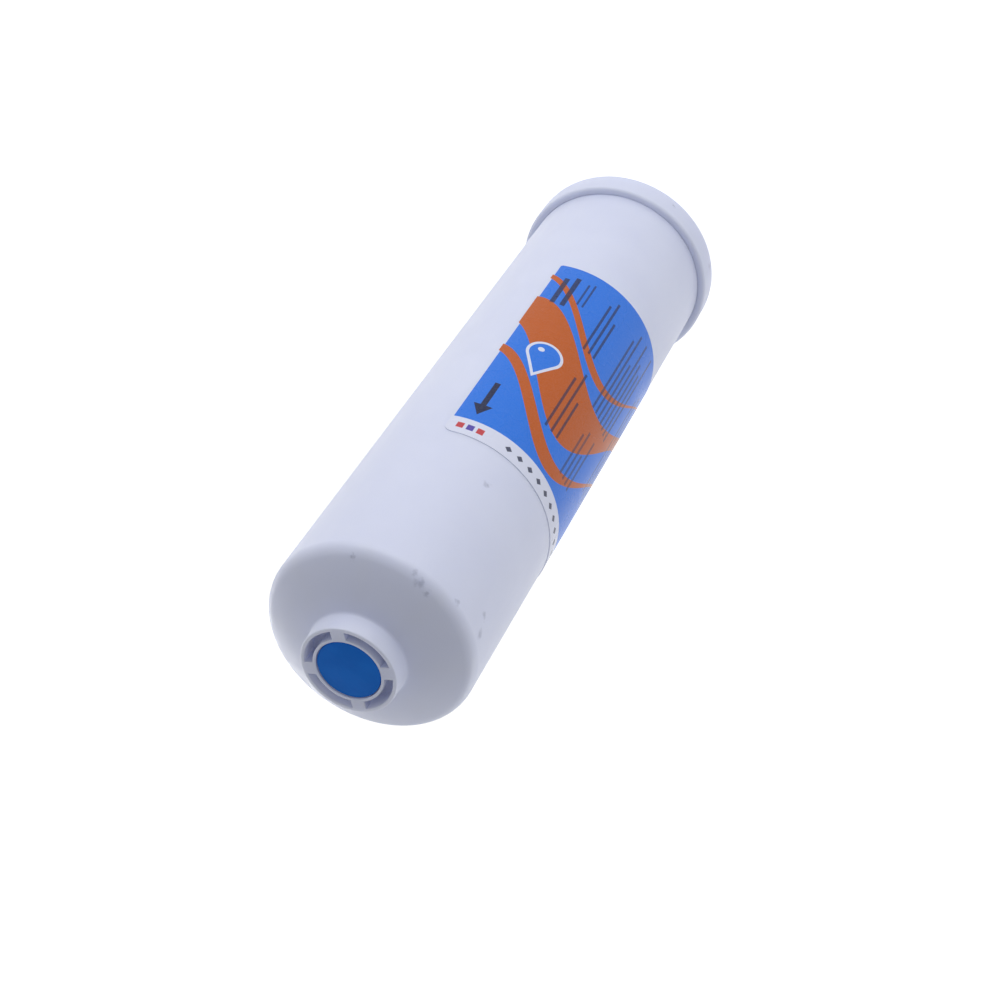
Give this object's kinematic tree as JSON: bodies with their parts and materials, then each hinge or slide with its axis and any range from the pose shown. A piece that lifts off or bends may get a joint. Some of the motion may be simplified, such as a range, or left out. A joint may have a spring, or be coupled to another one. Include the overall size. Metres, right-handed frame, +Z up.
{
  "type": "inline deionization filter",
  "caption": "White tubular inline deionization filter with a domed end, a collared end cap, ribbed port bosses, push-in blue plugs and a wrapped printed label.",
  "frame": {"origin": "centre of the inlet boss's rim, at the bottom of the standing filter", "axes": "+Z up the axis of the tube, from the capped inlet end to the domed outlet end; -Y is the side that the picture sees"},
  "size_m": [0.0688, 0.0688, 0.256],
  "materials": {
    "housing": "satin moulded polypropylene",
    "plug": "satin moulded polyethylene",
    "resin": "packed amber beads",
    "screen": "satin moulded polypropylene",
    "felt": "needled polyester felt",
    "foam": "open-cell foam",
    "label_film": "glossy white film",
    "label_blue": "glossy blue print",
    "label_orange": "glossy orange print"
  },
  "bodies": {
    "filter": {"canister": "housing", "end_cap": "housing", "resin_bed": "resin", "outlet_screen": "screen", "outlet_pad": "felt", "foam_pad": "foam", "inlet_pad": "felt", "inlet_screen": "screen", "label": "label_film", "label_field": "label_blue", "label_waves": "label_orange"},
    "outlet_plug_body": {"outlet_plug": "plug"},
    "inlet_plug_body": {"inlet_plug": "plug"}
  },
  "joints": [
    {"name": "outlet_plug_pull", "type": "slide", "parent": "filter", "child": "outlet_plug_body", "axis": [0, 0, 1], "range_m": [0, 0.013]},
    {"name": "inlet_plug_pull", "type": "slide", "parent": "filter", "child": "inlet_plug_body", "axis": [0, 0, -1], "range_m": [0, 0.013]}
  ]
}
